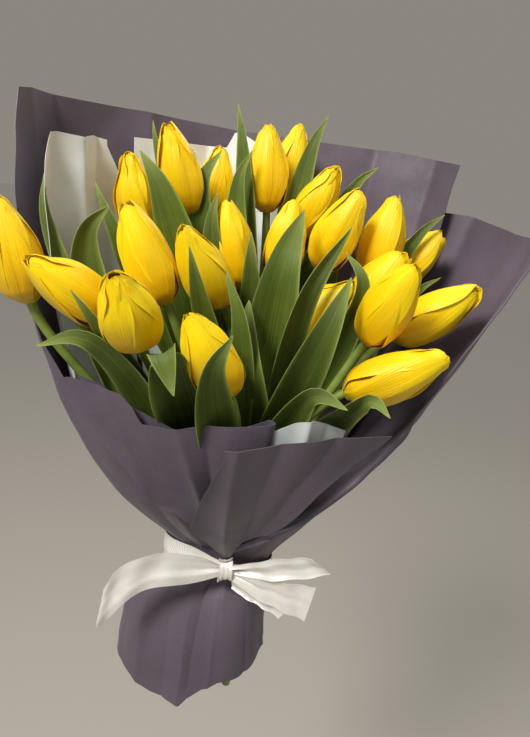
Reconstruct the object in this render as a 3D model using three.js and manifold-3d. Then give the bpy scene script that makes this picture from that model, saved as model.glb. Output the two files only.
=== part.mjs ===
// A hand-tied bouquet of twenty-two yellow tulips. A tie holds the stems, four overlapping sheets of
// matte wrapping paper and a translucent liner stand round them, and a satin ribbon closes the neck.
// Millimetres and degrees. The origin is the middle of the tie, +Z runs up the stems to the flowers,
// +X is the viewer's right and -Y faces the viewer. Angles round the neck run from +X towards +Y.
import * as THREE from "three";
import { mergeVertices } from "three/addons/utils/BufferGeometryUtils.js";
import Module from "manifold-3d";

const wasm = await Module();
wasm.setup();

// Driving dimensions.
const clearance = 0.35; // between pieces that touch
const stemRadius = 3.1;
const stemSpacing = 6.8; // between stem centres inside the tie
const slotOrder = 0.001; // weight of the angle where slots are equally far out
const stemSides = 6;
const stemSteps = 9;
const stemSplay = 0.3; // how much further apart the stem feet are than the stems in the tie
const stemRise = 0.3; // share of a stem's height that it keeps the direction it has in the tie
const stemNeck = 0.22; // and the share that it runs in line with its flower
const stemFoot = -96; // level of most of the cut stem ends
const longStem = 12; // how much lower the one long stem ends
const longStemTulip = 17;
const leafThickness = 1.1;
const leafFold = 0.22; // how far a leaf's edges stand forward of its midrib, of its width
const tieInner = 22.4;
const tieOuter = 23.6;
const tieHalfHeight = 4;
const neckRadius = 27.6; // of the innermost paper sheet
const neckLeft = 47.6; // how far the neck bulges to the left
const waist = 12; // half height of the straight neck under the ribbon
const neckTilt = 6; // the neck sits this much higher on the left than in the middle
const neckFront = 10; // and this much higher in front
const pleatCount = 12;
const pleatDepth = 1.2;
const pleatReach = 30;
const paperThickness = 0.8;
const layerSpacing = 1.6; // between sheets at the neck
const layerGrowth = 0.03; // how much further apart they stand for each mm from the neck
const ribbonWidth = 25;
const bandHem = 2; // how much narrower the band lies than the ribbon is wide
const ribbonThickness = 0.8;
const bandRadius = 38.5;
const knotRadii = [6, 4.6, 8];
const knotPlace = [-1, -45.2, 16];

// How far the paper reaches out from the neck on each side, and the height in which it opens.
const flare = {
  right: { reach: 190, rise: 225, ease: 1.2 }, // it starts to open gently
  back: { reach: 100, rise: 140 },
  left: { reach: 112, rise: 88 },
  front: { reach: 62, rise: 72 },
};
const skirt = {
  right: { reach: 1, rise: 18 },
  back: { reach: 14, rise: 24 },
  left: { reach: 37, rise: 25 },
  front: { reach: 14, rise: 20 },
};

// One row for each tulip: where its flower starts (x, y, z), its lean to the right and to the
// front, and the flower's length and width.
const tulips = [
  [-132, -48, 194, -13, 11, 62, 28],
  [-85, -46, 189, -46, 42, 60, 27],
  [-62, -64, 181, -10, 37, 56, 32],
  [-53, -36, 200, -23, 13, 66, 27],
  [-84, 31, 231, -11, 13, 58, 27],
  [-54, 37, 249, -16, 14, 62, 28],
  [-47, 79, 242, 8, 3, 60, 27],
  [-20, -22, 200, -28, 32, 62, 27],
  [-12, 6, 208, -13, 10, 58, 26],
  [-1, 53, 257, -5, 6, 60, 28],
  [10, 84, 264, 6, 1, 58, 27],
  [12, 24, 213, 6, 8, 56, 26],
  [22, 60, 243, 25, 16, 58, 28],
  [40, 16, 225, 19, 19, 60, 28],
  [78, 27, 219, 7, 7, 60, 28],
  [67, 2, 193, 24, 15, 58, 28],
  [71, -38, 191, 17, 29, 62, 27],
  [93, 58, 212, 37, 22, 58, 27],
  [93, -5, 188, 47, 28, 64, 28],
  [61, -52, 161, 57, 24, 66, 27],
  [22, -16, 180, 40, 19, 60, 27],
  [-8, -64, 155, -26, 21, 62, 28],
];
// The flower's outline: height up it, and radius as a share of half its width.
const flowerOutline = [
  [0, 0.27],
  [0.08, 0.7],
  [0.24, 0.96],
  [0.42, 1],
  [0.66, 0.84],
  [0.87, 0.52],
  [1, 0.24],
];

// One row for each leaf: its tulip, the height where it leaves the stem, a point half way up the
// blade, the tip, the blade's width and the angle that its face turns to. 270 faces the viewer.
const leaves = [
  [12, 80, [15, -34, 229], [24, -14, 263], 34, 275],
  [17, 50, [-2, -52, 168], [-3, -40, 208], 34, 270],
  [21, 60, [43, -70, 204], [53, -60, 231], 30, 290],
  [6, 120, [-68, 0, 265], [-83, 3, 287], 32, 265],
  [3, 70, [-87, -82, 184], [-114, -84, 178], 20, 250],
  [3, 90, [-42, -98, 186], [-34, -104, 166], 32, 280],
  [22, 60, [-16, -92, 177], [-7, -98, 200], 28, 285],
  [7, 120, [-46, 30, 271], [-35, 32, 294], 26, 270],
  [9, 100, [-33, -8, 248], [-31, -6, 267], 24, 265],
  [11, 130, [26, 52, 302], [35, 58, 326], 22, 260],
  [10, 130, [-21, 42, 297], [-28, 48, 326], 18, 250],
  [9, 130, [-21, 26, 276], [-14, 28, 296], 20, 280],
  [8, 100, [-30, -72, 219], [-35, -80, 240], 20, 260],
  [12, 110, [-5, -18, 227], [-7, -16, 246], 20, 265],
  [14, 80, [30, -46, 214], [53, -28, 257], 22, 300],
  [16, 110, [62, -42, 226], [51, -34, 242], 20, 285],
  [1, 110, [-138, -10, 242], [-142, -2, 267], 14, 270],
  [1, 120, [-107, -26, 233], [-94, -22, 253], 26, 300],
  [5, 120, [-97, -4, 240], [-111, 2, 265], 16, 255],
  [13, 140, [62, 66, 283], [78, 72, 297], 18, 285],
  [18, 120, [108, 30, 256], [122, 32, 269], 18, 285],
  [19, 110, [110, 16, 218], [124, 18, 228], 14, 290],
  [20, 60, [40, -80, 166], [58, -90, 164], 24, 285],
  [20, 80, [72, -76, 165], [83, -84, 160], 26, 300],
  [22, 70, [-6, -58, 197], [-17, -56, 226], 18, 265],
  [7, 150, [-87, 66, 296], [-91, 70, 311], 14, 265],
  [2, 100, [-84, -84, 198], [-94, -88, 212], 16, 250],
  [15, 110, [52, 40, 250], [60, 46, 274], 16, 270],
];

// Each sheet of paper or liner: its layer, counted outwards, and its outline round the neck as
// angle, lower edge and upper edge.
const sheets = {
  wrap_back_left: {
    layer: 0,
    outline: [
      [14, -70, 170],
      [24, -72, 205],
      [26, -72, 282],
      [28, -74, 305],
      [46, -78, 311],
      [106, -82, 315],
      [140, -88, 318],
      [176, -94, 317],
      [181.5, -95, 315],
      [184, -96, 296],
      [188, -97, 255],
      [192, -99, 212],
      [196, -101, 168],
      [201, -103, 148],
      [207, -105, 134],
      [214, -106, 119],
      [226, -107, 90],
      [232, -107, 77],
      [240, -107, 69],
      [250, -92, 53],
      [256, -88, 40],
      [262, -86, 25],
      [266, -84, 5],
    ],
  },
  wrap_back_right: {
    layer: 1.75,
    outline: [
      [-112, -93, -8],
      [-104, -88, 6],
      [-96, -84, 16],
      [-91, -82, 24],
      [-86, -80, 34],
      [-80, -80, 48],
      [-68, -80, 57],
      [-62, -80, 60],
      [-50, -81, 76],
      [-38, -83, 96],
      [-30, -84, 110],
      [-26, -84, 158],
      [-22, -84, 176],
      [-18, -85, 198],
      [-12, -85, 232],
      [-7, -85, 260],
      [8, -84, 262],
      [26, -82, 270],
      [62, -80, 272],
    ],
  },
  wrap_front_left: {
    layer: 1,
    outline: [
      [206, 142, 150],
      [208, 139, 153],
      [214, 125, 154],
      [220, 110, 154],
      [226, 95, 151],
      [232, 82, 133],
      [244, 68, 135],
      [256, 45, 140],
      [262, 34, 142],
      [266, 30, 143],
      [272, 50, 145],
      [281, 58, 148],
    ],
  },
  wrap_front_right: {
    layer: 4,
    outline: [
      [250, 60, 66],
      [256, 46, 90],
      [262, 30, 114],
      [264.5, 23, 128],
      [267, 17, 138],
      [269.5, 22, 138.5],
      [272, 26, 139],
      [276, 42, 139],
      [280, 54, 140],
      [292, 63, 144],
      [298, 74, 145],
      [304, 102, 146],
      [310, 116, 146],
      [314, 127, 146],
      [319, 139, 146],
    ],
  },
  liner_left: {
    layer: -1.8,
    outline: [
      [150, 20, 262],
      [154, 20, 293],
      [172, 20, 292],
      [182, 20, 226],
      [196, 20, 170],
    ],
  },
  liner_back: {
    layer: -1,
    outline: [
      [62, 20, 230],
      [84, 20, 292],
      [108, 20, 312],
      [136, 20, 299],
      [147, 20, 280],
    ],
  },
  liner_front: {
    layer: 0.4,
    outline: [
      [283, 20, 140],
      [292, 20, 152],
      [308, 20, 144],
      [320, 20, 132],
    ],
  },
};
const columnStep = 10; // widest angle between two columns of a sheet
const neckRows = [-40, -20, -7, 7, 20, 40, 64]; // levels that every sheet has vertices at
const upperRows = [0.28, 0.6, 1]; // and shares of the way from the last of them to the edge
const evenRows = [70, 110]; // under the first level an edge has even rows, over the second not

// The ribbon's free pieces: the line each one follows, and its width at both ends.
const ribbonPieces = {
  ribbon_tail_left: {
    path: [[-8, -44, 16], [-30, -51, 18], [-52, -57, 17], [-69, -58, 8], [-80, -57, -9], [-86, -55, -28]],
    widths: [10, 20, 25, 25, 22, 8],
    across: [0.25, -0.2, 1],
  },
  ribbon_tail_right: {
    path: [[6, -45.6, 20], [27, -52, 29], [46, -57, 36], [64, -58, 40]],
    widths: [9, 15, 19, 12],
    across: [-0.4, -0.1, 1],
  },
  ribbon_loop_right: {
    path: [[6, -43, 11], [26, -48.4, 9], [46, -52.4, 8], [61, -54.4, 8]],
    widths: [8, 18, 25, 26],
    across: [0.1, -0.1, 1],
  },
  ribbon_tail_under: {
    path: [[6, -40, 5], [24, -45, -2], [44, -49, -8]],
    widths: [5, 10, 7],
    across: [0.3, 0, 1],
  },
};

const materials = {
  petal: new THREE.MeshStandardMaterial({ color: 0xf2c200, roughness: 0.55, metalness: 0 }),
  leaf: new THREE.MeshStandardMaterial({ color: 0x5c7a35, roughness: 0.6, metalness: 0 }),
  paper: new THREE.MeshStandardMaterial({ color: 0x6b5c6b, roughness: 0.7, metalness: 0 }),
  liner: new THREE.MeshStandardMaterial({ color: 0xd4d6d8, roughness: 0.5, metalness: 0 }),
  satin: new THREE.MeshStandardMaterial({ color: 0xeceae6, roughness: 0.35, metalness: 0 }),
  tie: new THREE.MeshStandardMaterial({ color: 0xb59a6a, roughness: 0.8, metalness: 0 }),
};

const radians = THREE.MathUtils.degToRad;
const bouquet = new THREE.Group();

function addMesh(name, geometry, material, parent = bouquet) {
  const mesh = new THREE.Mesh(geometry, material);
  mesh.name = name;
  parent.add(mesh);
  return mesh;
}

// Solids for cutting and joining.

function toSolid(geometry) {
  const bare = geometry.clone();
  bare.deleteAttribute("normal");
  bare.deleteAttribute("uv");
  const merged = mergeVertices(bare, 1e-3);
  const vertProperties = new Float32Array(merged.attributes.position.array);
  const triVerts = new Uint32Array(merged.index.array);
  return new wasm.Manifold(new wasm.Mesh({ numProp: 3, vertProperties, triVerts }));
}

function toGeometry(solid) {
  const { vertProperties, triVerts } = solid.getMesh();
  const geometry = new THREE.BufferGeometry();
  geometry.setAttribute("position", new THREE.BufferAttribute(vertProperties, 3));
  geometry.setIndex(new THREE.BufferAttribute(triVerts, 1));
  geometry.computeVertexNormals();
  return geometry;
}

function joined(solids) {
  return solids.reduce((whole, solid) => whole.add(solid));
}

function largestBody(solid) {
  return solid.decompose().reduce((best, body) => (body.volume() > best.volume() ? body : best));
}

// A closed sheet between a front and a back skin. Each skin is a grid of points, columns by rows.
function sheetGeometry(front, back) {
  const columns = front.length;
  const rows = front[0].length;
  const position = [...front.flat(), ...back.flat()].flatMap((p) => [p.x, p.y, p.z]);
  const at = (side, i, j) => side * columns * rows + i * rows + j;
  const index = [];
  const quad = (a, b, c, d) => index.push(a, b, c, a, c, d);
  for (let i = 0; i < columns - 1; i++) {
    for (let j = 0; j < rows - 1; j++) {
      quad(at(0, i, j), at(0, i + 1, j), at(0, i + 1, j + 1), at(0, i, j + 1));
      quad(at(1, i, j), at(1, i, j + 1), at(1, i + 1, j + 1), at(1, i + 1, j));
    }
    quad(at(1, i, 0), at(1, i + 1, 0), at(0, i + 1, 0), at(0, i, 0));
    quad(at(0, i, rows - 1), at(0, i + 1, rows - 1), at(1, i + 1, rows - 1), at(1, i, rows - 1));
  }
  for (let j = 0; j < rows - 1; j++) {
    quad(at(1, 0, j), at(0, 0, j), at(0, 0, j + 1), at(1, 0, j + 1));
    quad(at(0, columns - 1, j), at(1, columns - 1, j), at(1, columns - 1, j + 1), at(0, columns - 1, j + 1));
  }
  const geometry = new THREE.BufferGeometry();
  geometry.setAttribute("position", new THREE.Float32BufferAttribute(position, 3));
  geometry.setIndex(index);
  geometry.computeVertexNormals();
  return geometry;
}

// Flowers.

function flowerAxis([, , , right, front]) {
  const axis = new THREE.Vector3(Math.tan(radians(right)), -Math.tan(radians(front)), 1);
  return axis.normalize();
}

function flowerStart(tulip) {
  return new THREE.Vector3(tulip[0], tulip[1], tulip[2]);
}

function flowerGeometry([, , , , , length, width], extra = 0) {
  const long = length + 2 * extra;
  const round = width / 2 + extra;
  const profile = flowerOutline.map(([up, out]) => new THREE.Vector2(round * out, long * up - extra));
  profile.unshift(new THREE.Vector2(0, -extra));
  profile.push(new THREE.Vector2(0, long - extra));
  return new THREE.LatheGeometry(profile, 10).rotateX(Math.PI / 2);
}

function placeFlower(object, tulip) {
  object.position.copy(flowerStart(tulip));
  object.quaternion.setFromUnitVectors(new THREE.Vector3(0, 0, 1), flowerAxis(tulip));
  object.updateMatrix();
  return object;
}

// Stems. They stand side by side in the tie, bend out to their flowers and spread a little below.

function tieSlots() {
  const slots = [];
  for (let a = -3; a <= 3; a++)
    for (let b = -3; b <= 3; b++)
      slots.push(new THREE.Vector2((a + b / 2) * stemSpacing, (b * Math.sqrt(3) * stemSpacing) / 2));
  const offCentre = (slot) => slot.length() + slotOrder * slot.angle();
  return slots.sort((p, q) => offCentre(p) - offCentre(q)).slice(0, tulips.length);
}

// Each tulip takes the slot on its own side: two tulips change places while that brings them nearer.
function slotsByTulip() {
  const slots = tieSlots();
  const wanted = tulips.map(([x, y]) => new THREE.Vector2(x * 0.16, y * 0.25));
  const miss = (slot, i) => slot.distanceToSquared(wanted[i]);
  for (let changed = true; changed; ) {
    changed = false;
    for (let i = 0; i < slots.length; i++)
      for (let j = i + 1; j < slots.length; j++) {
        const [p, q] = [slots[i], slots[j]];
        if (miss(q, i) + miss(p, j) >= miss(p, i) + miss(q, j) - 1e-6) continue;
        slots[i] = q;
        slots[j] = p;
        changed = true;
      }
  }
  return slots;
}

function stemPath(tulip, slot, footLevel) {
  const end = flowerStart(tulip).addScaledVector(flowerAxis(tulip), -clearance);
  const inTie = new THREE.Vector3(slot.x, slot.y, 0);
  const splay = 1 + stemSplay;
  const foot = new THREE.Vector3(slot.x * splay, slot.y * splay, footLevel);
  const below = foot.clone().setZ(footLevel * 0.6);
  const under = inTie.clone().setZ(footLevel * 0.4);
  const above = inTie.clone().setZ(end.z * stemRise);
  const neck = end.clone().addScaledVector(flowerAxis(tulip), -end.z * stemNeck);
  const path = new THREE.CurvePath();
  path.add(new THREE.CubicBezierCurve3(foot, below, under, inTie));
  path.add(new THREE.CubicBezierCurve3(inTie, above, neck, end));
  return path;
}

function stemGeometry(path, radius = stemRadius) {
  const corners = [];
  for (let i = 0; i < stemSides; i++) {
    const angle = (i / stemSides) * 2 * Math.PI;
    corners.push(new THREE.Vector2(radius * Math.cos(angle), radius * Math.sin(angle)));
  }
  const section = new THREE.Shape(corners);
  return new THREE.ExtrudeGeometry(section, { steps: stemSteps, extrudePath: path });
}

// Leaves. A blade leaves its stem low down, follows a smooth line to its tip and is slightly folded.

function leafShare(t) {
  return Math.max(0.07, 0.42 + 1.5 * t - 1.93 * t * t + 0.06 * Math.sin(Math.PI * t));
}

function stemPointAt(path, z) {
  let t = 0;
  for (let step = 0.25; step > 1e-4; step /= 2) {
    while (t + step < 1 && path.getPoint(t + step).z < z) t += step;
  }
  return path.getPoint(t);
}

function leafGeometry([, from, middle, tip, width, facing], path, extra = 0) {
  const line = new THREE.CatmullRomCurve3(
    [stemPointAt(path, from), new THREE.Vector3(...middle), new THREE.Vector3(...tip)],
    false,
    "centripetal",
  );
  const face = new THREE.Vector3(Math.cos(radians(facing)), Math.sin(radians(facing)), 0.25);
  const half = leafThickness / 2 + extra;
  const front = [];
  const back = [];
  for (const across of [-1, 0, 1]) {
    const frontColumn = [];
    const backColumn = [];
    for (const t of [0, 0.17, 0.34, 0.5, 0.68, 0.85, 1]) {
      const along = line.getTangent(t);
      const side = along.clone().cross(face).normalize();
      const out = side.clone().cross(along).normalize();
      const reach = (width / 2) * leafShare(t) + extra;
      const point = line.getPoint(t).addScaledVector(side, across * reach);
      point.addScaledVector(out, Math.abs(across) * reach * 2 * leafFold);
      frontColumn.push(point.clone().addScaledVector(out, half));
      backColumn.push(point.clone().addScaledVector(out, -half));
    }
    front.push(frontColumn);
    back.push(backColumn);
  }
  return sheetGeometry(front, back);
}

// Paper and liner. They run straight through the neck and open above and below it.

function opening({ reach, rise, ease = 1 }, height) {
  return reach * (1 - Math.exp(-((Math.max(0, height - waist) / rise) ** ease)));
}

function sheetRadius(angle, z, layer) {
  const c = Math.cos(radians(angle));
  const s = Math.sin(radians(angle));
  const height = z + neckTilt * c + neckFront * s;
  const shape = height > 0 ? flare : skirt;
  const sideways = opening(c > 0 ? shape.right : shape.left, Math.abs(height));
  const across = (c > 0 ? neckRadius : neckLeft) + sideways;
  const along = neckRadius + opening(s > 0 ? shape.back : shape.front, Math.abs(height));
  const round = (across * along) / Math.hypot(along * c, across * s);
  const pleat = pleatDepth * Math.cos(radians(pleatCount * angle));
  const fading = Math.exp(-Math.abs(height) / pleatReach);
  const spacing = layerSpacing + layerGrowth * Math.max(0, Math.abs(height) - waist);
  return round + pleat * fading + layer * spacing;
}

function sheetColumns(outline) {
  const columns = [outline[0]];
  for (let i = 1; i < outline.length; i++) {
    const start = outline[i - 1];
    const end = outline[i];
    const count = Math.ceil((end[0] - start[0]) / columnStep);
    for (let k = 1; k <= count; k++)
      columns.push(start.map((value, axis) => value + ((end[axis] - value) * k) / count));
  }
  return columns;
}

function sheetLevels(lower, upper) {
  const last = neckRows[neckRows.length - 1];
  const rows = [lower, ...neckRows, ...upperRows.map((share) => last + (upper - last) * share)];
  const even = lower > 0 ? 1 : 1 - THREE.MathUtils.smoothstep(upper, ...evenRows);
  return rows.map((z, i) => {
    const spaced = lower + ((upper - lower) * i) / (rows.length - 1);
    return THREE.MathUtils.lerp(z, spaced, even);
  });
}

function sheetSkin(columns, layer, offset) {
  return columns.map(([angle, lower, upper]) =>
    sheetLevels(lower, upper).map((z) => {
      const radius = sheetRadius(angle, z, layer) + offset;
      return new THREE.Vector3(radius * Math.cos(radians(angle)), radius * Math.sin(radians(angle)), z);
    }),
  );
}

function wallGeometry({ layer, outline }, extra = 0) {
  const columns = sheetColumns(outline);
  const half = paperThickness / 2 + extra;
  return sheetGeometry(sheetSkin(columns, layer, half), sheetSkin(columns, layer, -half));
}

// Tie and ribbon.

function ringGeometry(inner, outer, halfHeight, segments) {
  const profile = [
    [inner, -halfHeight],
    [outer, -halfHeight],
    [outer, halfHeight],
    [inner, halfHeight],
    [inner, -halfHeight],
  ].map(([r, z]) => new THREE.Vector2(r, z));
  return new THREE.LatheGeometry(profile, segments).rotateX(Math.PI / 2);
}

function ribbonGeometry({ path, widths, across }) {
  const line = new THREE.CatmullRomCurve3(path.map((p) => new THREE.Vector3(...p)));
  const wide = new THREE.Vector3(...across);
  const steps = 3 * (path.length - 1);
  const skins = [[], []];
  for (const side of [-0.5, 0.5]) {
    const columns = [[], []];
    for (let i = 0; i <= steps; i++) {
      const t = i / steps;
      const place = t * (widths.length - 1);
      const k = Math.min(Math.floor(place), widths.length - 2);
      const width = THREE.MathUtils.lerp(widths[k], widths[k + 1], place - k);
      const along = line.getTangent(t);
      const normal = along.clone().cross(wide).normalize();
      const sideways = normal.clone().cross(along).normalize();
      const edge = line.getPoint(t).addScaledVector(sideways, side * width);
      columns[0].push(edge.clone().addScaledVector(normal, ribbonThickness / 2));
      columns[1].push(edge.clone().addScaledVector(normal, -ribbonThickness / 2));
    }
    skins[0].push(columns[0]);
    skins[1].push(columns[1]);
  }
  return sheetGeometry(skins[1], skins[0]);
}

// Assembly.

const number = (i) => String(i + 1).padStart(2, "0");
const slots = slotsByTulip();
const paths = tulips.map((tulip, i) => {
  const footLevel = i + 1 === longStemTulip ? stemFoot - longStem : stemFoot;
  return stemPath(tulip, slots[i], footLevel);
});

const flowers = new THREE.Group();
tulips.forEach((tulip, i) => {
  placeFlower(addMesh("bloom_" + number(i), flowerGeometry(tulip), materials.petal, flowers), tulip);
});
bouquet.add(flowers);

// Leaves give way to flowers, to the other stems, to the sheets and to the leaves before them.
const flowerRoom = tulips.map((tulip) => {
  const placed = placeFlower(new THREE.Object3D(), tulip);
  return toSolid(flowerGeometry(tulip, clearance).applyMatrix4(placed.matrix));
});
const stemRoom = paths.map((path) => toSolid(stemGeometry(path, stemRadius + clearance)));
const sheetRoom = Object.values(sheets).map((sheet) => toSolid(wallGeometry(sheet, clearance)));
const fixedRoom = joined([...flowerRoom, ...sheetRoom]);
const leafRoom = leaves.map((leaf) => toSolid(leafGeometry(leaf, paths[leaf[0] - 1], clearance)));

function leafSolid(leaf, place) {
  const owner = leaf[0] - 1;
  const otherStems = stemRoom.filter((_, i) => i !== owner);
  const earlier = leafRoom.slice(0, place).filter((_, i) => leaves[i][0] !== leaf[0]);
  const room = joined([fixedRoom, ...otherStems, ...earlier]);
  return toSolid(leafGeometry(leaf, paths[owner])).subtract(room);
}

tulips.forEach((tulip, i) => {
  const own = leaves.map((leaf, place) => [leaf, place]).filter(([leaf]) => leaf[0] === i + 1);
  const blades = own.map(([leaf, place]) => leafSolid(leaf, place));
  const whole = largestBody(joined([toSolid(stemGeometry(paths[i])), ...blades]));
  addMesh("stem_" + number(i), toGeometry(whole), materials.leaf);
});

addMesh("stem_tie", ringGeometry(tieInner, tieOuter, tieHalfHeight, 24), materials.tie);

for (const [name, sheet] of Object.entries(sheets)) {
  const material = name.startsWith("liner") ? materials.liner : materials.paper;
  addMesh(name, wallGeometry(sheet), material);
}

const ribbon = new THREE.Group();
const bandHalf = (ribbonWidth - bandHem) / 2;
const bandGeometry = ringGeometry(bandRadius, bandRadius + ribbonThickness, bandHalf, 32);
addMesh("ribbon_band", bandGeometry, materials.satin, ribbon);
// The band lies along the neck: it bulges to the left with the paper and tilts as the waist does.
const bandBulge = (bandRadius + neckLeft - neckRadius) / bandRadius;
const bandPoints = bandGeometry.attributes.position;
for (let i = 0; i < bandPoints.count; i++) {
  const [x, y] = [bandPoints.getX(i), bandPoints.getY(i)];
  const wide = x < 0 ? x * bandBulge : x;
  const rise = -(neckTilt * wide + neckFront * y) / Math.hypot(wide, y);
  bandPoints.setXYZ(i, wide, y, bandPoints.getZ(i) + rise);
}
const knot = addMesh("ribbon_knot", new THREE.SphereGeometry(1, 12, 8), materials.satin, ribbon);
knot.scale.set(...knotRadii);
knot.position.set(...knotPlace);
for (const [name, piece] of Object.entries(ribbonPieces))
  addMesh(name, ribbonGeometry(piece), materials.satin, ribbon);
bouquet.add(ribbon);

export default bouquet;
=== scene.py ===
import math
import random

import bpy
import numpy as np
from mathutils import Matrix, Vector, noise


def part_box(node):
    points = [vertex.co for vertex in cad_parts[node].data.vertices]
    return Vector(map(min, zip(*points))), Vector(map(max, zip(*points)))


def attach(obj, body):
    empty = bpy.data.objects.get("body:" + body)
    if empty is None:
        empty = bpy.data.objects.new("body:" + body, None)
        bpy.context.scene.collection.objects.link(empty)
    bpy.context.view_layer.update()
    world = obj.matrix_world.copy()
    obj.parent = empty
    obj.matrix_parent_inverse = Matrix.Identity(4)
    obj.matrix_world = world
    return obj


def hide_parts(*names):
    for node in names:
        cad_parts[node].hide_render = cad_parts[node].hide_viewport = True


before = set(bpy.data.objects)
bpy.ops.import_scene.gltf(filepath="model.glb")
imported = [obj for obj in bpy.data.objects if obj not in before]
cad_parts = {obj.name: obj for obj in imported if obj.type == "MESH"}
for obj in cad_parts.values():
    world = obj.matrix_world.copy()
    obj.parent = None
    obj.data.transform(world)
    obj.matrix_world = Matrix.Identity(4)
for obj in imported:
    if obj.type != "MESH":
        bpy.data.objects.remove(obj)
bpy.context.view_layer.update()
mm = 0.001  # shapes are worked out in millimetres and written in metres
tulipCount = 22
print("frame loaded:", len(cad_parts), "nodes")


def smoothStep(low, high, x):
    t = np.clip((np.asarray(x, float) - low) / (high - low), 0, 1)
    return t * t * (3 - 2 * t)


def unit(v):
    return v / np.maximum(np.linalg.norm(v, axis=-1, keepdims=True), 1e-9)


def throughPoints(points, t):  # a smooth line through a few points, t from 0 to 1 (centripetal)
    p = np.asarray(points, float)
    flat = p.ndim == 1
    p = p[:, None] if flat else p
    gap = np.ones(len(p) - 1) if flat else np.sqrt(np.linalg.norm(np.diff(p, axis=0), axis=1))
    p = np.vstack([2 * p[0] - p[1], p, 2 * p[-1] - p[-2]])
    gap = np.concatenate([gap[:1], gap, gap[-1:]])
    x = np.clip(np.asarray(t, float), 0, 1) * (len(p) - 3)
    i = np.minimum(x.astype(int), len(p) - 4)
    f = (x - i)[..., None]
    a, b, c, d = p[i], p[i + 1], p[i + 2], p[i + 3]
    g, h, k = gap[i][..., None], gap[i + 1][..., None], gap[i + 2][..., None]
    start = (b - a) / g * h - (c - a) / (g + h) * h + (c - b)
    end = (c - b) - (d - b) / (h + k) * h + (d - c) / k * h
    out = b + f * start + f**2 * (3 * (c - b) - 2 * start - end) + f**3 * (2 * (b - c) + start + end)
    return out[..., 0] if flat else out


def outlineAt(outline, t):  # value of a listed outline of (place, value) pairs, smoothed between them
    place, value = np.array(outline, float).T
    t = np.clip(t, place[0], place[-1])
    i = np.clip(np.searchsorted(place, t, side="right") - 1, 0, len(place) - 2)
    slope = np.gradient(value, place)
    h = place[i + 1] - place[i]
    f = (t - place[i]) / h
    return (
        value[i] * (2 * f**3 - 3 * f**2 + 1)
        + value[i + 1] * (3 * f**2 - 2 * f**3)
        + slope[i] * h * (f**3 - 2 * f**2 + f)
        + slope[i + 1] * h * (f**3 - f**2)
    )


def acrossAndAlong(columns, rows):  # places on a strip: -1 to 1 across it, and the rows along it
    return np.meshgrid(np.linspace(-1, 1, columns), rows, indexing="ij")


def crumple(points, size, depth, seed):  # folded noise, for paper and foliage that isn't quite smooth
    flat = points.reshape(-1, 3)
    shift = Vector((seed * 17.3, seed * 5.1, seed * 9.7))
    values = [noise.noise(Vector(p) / size + shift) for p in flat]
    return depth * np.array(values).reshape(points.shape[:-1])


def shellMesh(name, sheets, material):  # closed thin shells: each has a grid of points, thickness and tone
    verts, faces, uvs, sides, tones = [], [], [], [], []
    for grid, thickness, tone in sheets:
        nu, nv = grid.shape[:2]
        normal = unit(np.cross(np.gradient(grid, axis=0), np.gradient(grid, axis=1)))
        half = np.broadcast_to(thickness, (nu, nv))[..., None] / 2
        start = sum(len(v) for v in verts)
        verts += [(grid + normal * half).reshape(-1, 3), (grid - normal * half).reshape(-1, 3)]
        u, v = np.meshgrid(np.linspace(0, 1, nu), np.linspace(0, 1, nv), indexing="ij")
        uvs += [np.stack([u, v], -1).reshape(-1, 2)] * 2
        sides += [np.ones(nu * nv), np.zeros(nu * nv)]
        tones += [np.full(2 * nu * nv, tone)]
        f = start + np.arange(nu * nv).reshape(nu, nv)
        b = f + nu * nv
        quads = [
            (f[:-1, :-1], f[1:, :-1], f[1:, 1:], f[:-1, 1:]),
            (b[:-1, :-1], b[:-1, 1:], b[1:, 1:], b[1:, :-1]),
            (f[1:, 0], f[:-1, 0], b[:-1, 0], b[1:, 0]),
            (f[:-1, -1], f[1:, -1], b[1:, -1], b[:-1, -1]),
            (f[0, :-1], f[0, 1:], b[0, 1:], b[0, :-1]),
            (f[-1, 1:], f[-1, :-1], b[-1, :-1], b[-1, 1:]),
        ]
        faces += [np.stack([c.ravel() for c in q], -1) for q in quads]
    verts, faces = np.concatenate(verts) * mm, np.concatenate(faces)
    mesh = bpy.data.meshes.new(name)
    mesh.vertices.add(len(verts))
    mesh.vertices.foreach_set("co", verts.ravel())
    mesh.loops.add(faces.size)
    mesh.loops.foreach_set("vertex_index", faces.ravel())
    mesh.polygons.add(len(faces))
    mesh.polygons.foreach_set("loop_start", np.arange(0, faces.size, 4))
    mesh.update(calc_edges=True)
    mesh.uv_layers.new(name="along").data.foreach_set("uv", np.concatenate(uvs)[faces.ravel()].ravel())
    for label, values in (("front", np.concatenate(sides)), ("tone", np.concatenate(tones))):
        mesh.attributes.new(label, "FLOAT", "POINT").data.foreach_set("value", values)
    mesh.shade_smooth()
    mesh.set_sharp_from_angle(angle=math.radians(55))
    mesh.validate()
    return addPiece(name, mesh, material)


def addPiece(name, mesh, material):
    piece = bpy.data.objects.new(name, mesh)
    bpy.context.collection.objects.link(piece)
    if material and not mesh.materials:
        mesh.materials.append(material)
    return piece


def settle(piece, node):  # every piece rides on the one body and stands for its CAD node
    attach(piece, "root")
    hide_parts(node)


# Where the design puts each flower and stem.

def nodePoints(name):
    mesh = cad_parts[name].data
    points = np.empty(3 * len(mesh.vertices))
    mesh.vertices.foreach_get("co", points)
    return points.reshape(-1, 3) / mm


def flowerPlace(number):
    points = nodePoints("bloom_%02d" % number)
    centre = points.mean(axis=0)
    axis = np.linalg.eigh(np.cov((points - centre).T))[1][:, -1]
    axis = axis if axis[2] > 0 else -axis
    up = (points - centre) @ axis
    out = np.linalg.norm(points - centre - np.outer(up, axis), axis=1)
    return {"base": centre + axis * up.min(), "axis": axis, "length": np.ptp(up), "radius": out.max()}


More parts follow.
